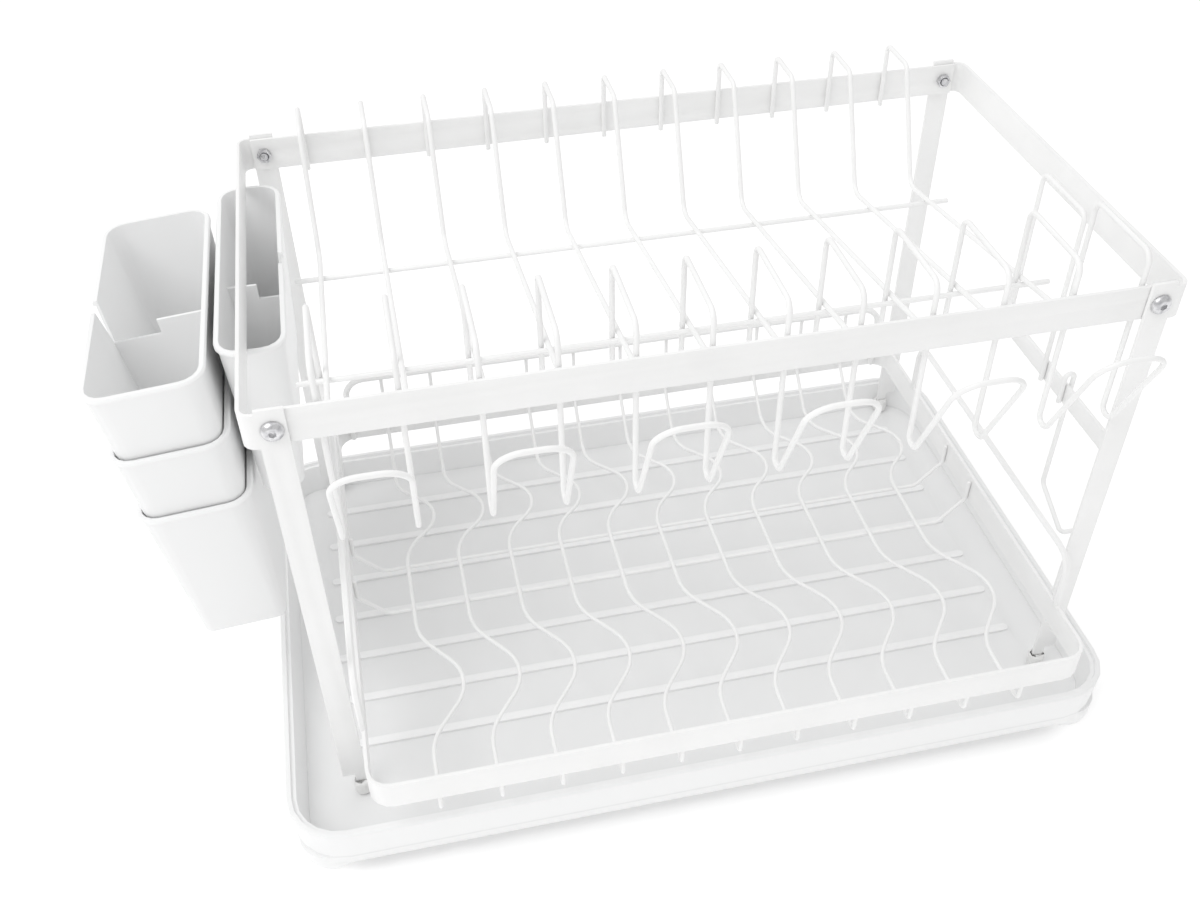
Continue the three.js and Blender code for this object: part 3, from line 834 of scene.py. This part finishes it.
@dataclass
class CupHooks:
    """The wires that make a pair of hoops and the round hook between them, in millimetres."""

    finishes: Finishes
    count: int = 6
    diameter: float = 2.8
    half_width: float = 17.05
    back_y: float = -70.0
    tail_z: float = 228.0
    peak_z: float = 283.6
    drop_y: float = -118.2
    bottom_z: float = 193.4
    turn_radius: float = 4.5
    lean: float = 65.0
    arm: float = 47.0
    crown: float = 15.0
    crown_bend: float = 13.0

    def build(self) -> None:
        """Bends one hook wire and copies it along the front bar."""
        low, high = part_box("cup_hook_01")
        middle = ((low.x + high.x) / 2 - ORIGIN.x) / MM
        bender = WireBender(self.diameter, degrees_per_step=8.0)
        model = bender.bend("cup_hook_model", self._route(middle))
        for index in range(1, self.count + 1):
            node = f"cup_hook_{index:02d}"
            here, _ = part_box(node)
            hook = copy_of(model, f"cup_hook_round_{index:02d}", Vector((here.x - low.x, 0.0, 0.0)))
            mount(hook, Body.FRAME, self.finishes.coat, "powder_coat", node)
        bpy.data.objects.remove(model)

    def _route(self, middle: float) -> list[Corner]:
        """The hook wire's corners from one tail to the other.

        Args:
            middle: The X of the hook's middle plane.

        Returns:
            The corners in order.
        """
        lean = math.radians(self.lean)
        arm_y = self.drop_y - self.turn_radius * (1 + math.sin(lean))
        arm_z = self.bottom_z + self.turn_radius * (1 - math.cos(lean))
        reach = self.arm + self.crown
        side = middle - self.half_width
        toe_y = arm_y + self.turn_radius * math.tan(lean / 2) * math.cos(lean)
        end_y = arm_y - reach * math.cos(lean)
        end_z = arm_z + reach * math.sin(lean)
        half = [
            Corner(side, self.back_y, self.tail_z),
            Corner(side, self.back_y, self.peak_z, 5.0),
            Corner(side, self.drop_y, self.peak_z, 6.0),
            Corner(side, self.drop_y, self.bottom_z, self.turn_radius),
            Corner(side, toe_y, self.bottom_z, self.turn_radius),
            Corner(side, end_y, end_z, self.crown_bend),
        ]
        return half + [corner.mirrored(middle) for corner in reversed(half)]


@dataclass
class RightSide:
    """The end loop and the loose board hook on the side strip, in millimetres."""

    finishes: Finishes
    diameter: float = 2.8
    loop_bend: float = 5.0
    hook_lip: float = 12.0
    hook_bend: float = 2.6
    hook_knee: float = 14.0

    def build(self) -> None:
        """Bends the loop and the hook."""
        bender = WireBender(self.diameter)
        low, high = (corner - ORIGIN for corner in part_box("end_loop"))
        radius = self.diameter / 2
        x = (low.x + high.x) / 2 / MM
        back, front = high.y / MM - radius, low.y / MM + radius
        top, foot = high.z / MM - radius, low.z / MM
        loop = bender.bend("end_loop_round", [
            Corner(x, back, foot),
            Corner(x, back, top, self.loop_bend),
            Corner(x, front, top, self.loop_bend),
            Corner(x, front, foot),
        ])
        mount(loop, Body.FRAME, self.finishes.coat, "powder_coat", "end_loop")
        self._board_hook(bender)

    def _board_hook(self, bender: WireBender) -> None:
        """Bends the loose hook over the strip."""
        low, high = (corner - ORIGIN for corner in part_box("board_hook"))
        strip_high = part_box("side_strip")[1] - ORIGIN
        radius = self.diameter / 2
        inner = low.x / MM + radius
        outer = strip_high.x / MM + GAP / MM + radius
        back = high.y / MM - radius
        front = low.y / MM + radius
        top = high.z / MM - radius
        foot = low.z / MM + radius
        lip = strip_high.z / MM - self.hook_lip
        hook = bender.bend("board_hook_round", [
            Corner(inner, back, lip),
            Corner(inner, back, top, self.hook_bend),
            Corner(outer, back, top, self.hook_bend),
            Corner(outer, back, foot + self.hook_knee, 5.0),
            Corner(outer, front, foot, 3.0),
            Corner(high.x / MM, front, foot),
        ])
        mount(hook, Body.HOOK, self.finishes.coat, "powder_coat", "board_hook")


# ---------------------------------------------------------------- lower basket


@dataclass
class LowerBasket:
    """Rim strip, wavy floor wires, rods and back rail, in millimetres from the datum."""

    finishes: Finishes
    count: int = 11
    diameter: float = 2.3
    rod_shoulder: float = 50.4
    rod_slope: float = 16.0
    rail_diameter: float = 4.0
    rail_top: float = 100.0
    rail_bend: float = 12.0
    floor_z: float = 36.0
    front_y: float = -168.75
    back_y: float = 114.75
    top_front: float = 64.4
    top_back: float = 97.7
    slope_top: float = 56.4
    slope_run: float = 22.0
    bulge: float = 22.0
    bulge_overshoot: float = 1.3
    bulge_inset: float = 4.0
    bulge_bend: float = 26.0
    bulge_entry_bend: float = 30.0
    front_bulge: tuple[float, float] = (-130.0, -48.0)
    back_bulge: tuple[float, float] = (15.0, 80.75)

    def build(self) -> None:
        """Makes the basket."""
        rim = EdgeWorker(round_over=0.4).finish("basket_rim", "basket_rim_coated")
        mount(rim, Body.BASKET, self.finishes.coat, "powder_coat", "basket_rim")
        bender = WireBender(self.diameter, sides=12)
        first_low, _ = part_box("basket_wire_01")
        radius = self.diameter / 2
        x = (first_low.x - ORIGIN.x) / MM + radius
        model = bender.bend("basket_wire_model", self._floor_route(x))
        for index in range(1, self.count + 1):
            node = f"basket_wire_{index:02d}"
            here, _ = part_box(node)
            shift = Vector((here.x - first_low.x, 0.0, 0.0))
            wire = copy_of(model, f"basket_wire_round_{index:02d}", shift)
            mount(wire, Body.BASKET, self.finishes.coat, "powder_coat", node)
        bpy.data.objects.remove(model)
        for node in ("basket_front_rod", "basket_rear_rod"):
            self._rod(bender, node)
        self._rail()

    def _floor_route(self, x: float) -> list[Corner]:
        """The route of one floor wire, front to back."""
        floor = self.floor_z
        route = [Corner(x, self.front_y, self.top_front), Corner(x, self.front_y, floor, 3.5)]
        for start, end in (self.front_bulge, self.back_bulge):
            middle = (start + end) / 2
            route += [
                Corner(x, start + self.bulge_inset, floor, self.bulge_entry_bend),
                Corner(x + self.bulge * self.bulge_overshoot, middle, floor, self.bulge_bend),
                Corner(x, end - self.bulge_inset, floor, self.bulge_entry_bend),
            ]
        return route + [
            Corner(x, self.back_y - self.slope_run, floor, 6.0),
            Corner(x, self.back_y, self.slope_top, 6.0),
            Corner(x, self.back_y, self.top_back),
        ]

    def _rod(self, bender: WireBender, node: str) -> None:
        """Bends one rod whose ends rise to the rim."""
        low, high = (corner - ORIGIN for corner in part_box(node))
        radius = self.diameter / 2
        y = (low.y + high.y) / 2 / MM
        end, floor, top = high.x / MM - radius, low.z / MM + radius, high.z / MM
        half = [
            Corner(end, y, top),
            Corner(end, y, self.rod_shoulder, 5.0),
            Corner(end - self.rod_slope, y, floor, 6.0),
        ]
        rod = bender.bend(f"{node}_round", half + [corner.mirrored() for corner in reversed(half)])
        mount(rod, Body.BASKET, self.finishes.coat, "powder_coat", node)

    def _rail(self) -> None:
        """Bends the back rail."""
        low, high = (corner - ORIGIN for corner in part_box("basket_back_rail"))
        radius = self.rail_diameter / 2
        y = (low.y + high.y) / 2 / MM
        end, foot = high.x / MM - radius, low.z / MM
        half = [Corner(end, y, foot), Corner(end, y, self.rail_top, self.rail_bend)]
        rail = WireBender(self.rail_diameter, sides=16).bend(
            "back_rail_round", half + [corner.mirrored() for corner in reversed(half)],
        )
        mount(rail, Body.BASKET, self.finishes.coat, "powder_coat", "basket_back_rail")


# ---------------------------------------------------------------- mouldings


@dataclass
class DripTray:
    """The moulded drip tray."""

    finishes: Finishes

    def build(self) -> None:
        """Rounds the tray's edges."""
        worker = EdgeWorker(round_over=0.7, segments=3, sharp_angle=28.0)
        piece = worker.finish("drip_tray", "drip_tray_moulded")
        mount(piece, Body.TRAY, self.finishes.tray, "tray_plastic", "drip_tray")


@dataclass
class CutleryCups:
    """The nested cups and the inner cup."""

    finishes: Finishes
    bodies: tuple[tuple[str, Body], ...] = (
        ("cutlery_cup_1", Body.CUP_TOP),
        ("cutlery_cup_2", Body.CUP_MID),
        ("cutlery_cup_3", Body.CUP_LOW),
        ("cutlery_cup_inner", Body.FRAME),
    )

    def build(self) -> None:
        """Rounds every cup's edges."""
        worker = EdgeWorker(round_over=0.45, segments=2, sharp_angle=28.0)
        for node, body in self.bodies:
            piece = worker.finish(node, f"{node}_moulded")
            mount(piece, body, self.finishes.cup, "cup_plastic", node)


# ---------------------------------------------------------------- studio


@dataclass(frozen=True)
class Studio:
    """Pale floor, soft light and the camera; the camera's place is in millimetres from the datum."""

    focal_pixels: float = 1258.1
    image_width: float = 1200.0
    sensor: float = 36.0
    place: tuple[float, float, float] = (-148.9, -541.0, 592.7)
    down: float = 41.09
    azimuth: float = 11.57
    roll: float = -0.92

    def build(self) -> None:
        """Sets the stage."""
        self._floor()
        self._lights()
        self._camera()

    def _floor(self) -> None:
        """Lays a wide pale floor that glows a little, as a lit sweep does."""
        deselect()
        bpy.ops.mesh.primitive_plane_add(size=8.0, location=(0.0, 0.0, -0.0004))
        floor = bpy.context.object
        floor.name = "studio_floor"
        settle(floor)
        maker = Maker("studio_paper")
        tone = maker.ramp(maker.noise(1.5, 2.0), 0.2, 0.8)
        maker.feed("Base Color", maker.blend(tone, (0.93, 0.93, 0.93), (0.95, 0.95, 0.95)))
        maker.feed("Roughness", 0.9)
        maker.feed("Specular IOR Level", 0.1)
        maker.feed("Emission Color", (1.0, 1.0, 1.0, 1.0))
        maker.feed("Emission Strength", 0.22)
        floor.data.materials.append(maker.material)

    def _lights(self) -> None:
        """Hangs soft panels over the rack and lights the surroundings."""
        world = bpy.data.worlds.new("studio_world")
        world.use_nodes = True
        world.node_tree.nodes["Background"].inputs["Color"].default_value = (1.0, 1.0, 1.0, 1.0)
        world.node_tree.nodes["Background"].inputs["Strength"].default_value = 0.72
        bpy.context.scene.world = world
        self._panel("key_panel", (-1.1, -0.5, 1.9), 1.3, 14.0)
        self._panel("top_panel", (0.4, 0.6, 2.2), 1.6, 5.0)

    @staticmethod
    def _panel(name: str, place: tuple[float, float, float], size: float, power: float) -> None:
        """Hangs one square panel that faces the rack.

        Args:
            name: The lamp's name.
            place: Where it hangs.
            size: Its side.
            power: Its power in watts.
        """
        data = bpy.data.lights.new(name, "AREA")
        data.shape = "SQUARE"
        data.size = size
        data.energy = power
        lamp = bpy.data.objects.new(name, data)
        lamp.location = place
        facing = Vector((0.0, 0.0, 0.15)) - Vector(place)
        lamp.rotation_euler = facing.to_track_quat("-Z", "Y").to_euler()
        bpy.context.scene.collection.objects.link(lamp)

    def _camera(self) -> None:
        """Stands the camera where the rack is seen from above and in front."""
        data = bpy.data.cameras.new("camera")
        data.sensor_width = self.sensor
        data.lens = self.sensor * self.focal_pixels / self.image_width
        data.clip_start = 0.01
        camera = bpy.data.objects.new("camera", data)
        camera.location = at(*self.place)
        down, azimuth, roll = (math.radians(v) for v in (self.down, self.azimuth, self.roll))
        level_share = math.cos(down)
        forward = Vector((
            math.sin(azimuth) * level_share, math.cos(azimuth) * level_share, -math.sin(down),
        ))
        level = Vector((math.cos(azimuth), -math.sin(azimuth), 0.0))
        upright = level.cross(forward)
        right = level * math.cos(roll) + upright * math.sin(roll)
        upward = upright * math.cos(roll) - level * math.sin(roll)
        turn = Matrix((right, upward, -forward)).transposed()
        camera.rotation_euler = turn.to_euler()
        bpy.context.scene.collection.objects.link(camera)
        bpy.context.scene.camera = camera
        bpy.context.scene.view_settings.view_transform = "Standard"


def main() -> None:
    """Builds every sub-assembly in order."""
    logging.basicConfig(level=logging.INFO, format="%(message)s")
    finishes = Finishes()
    Studio().build()
    for assembly in (
        UpperFrame(finishes), DishWires(finishes), CupHooks(finishes), RightSide(finishes),
        LowerBasket(finishes), DripTray(finishes), CutleryCups(finishes),
    ):
        LOG.info("building %s", type(assembly).__name__)
        assembly.build()


if __name__ == "__main__":
    main()
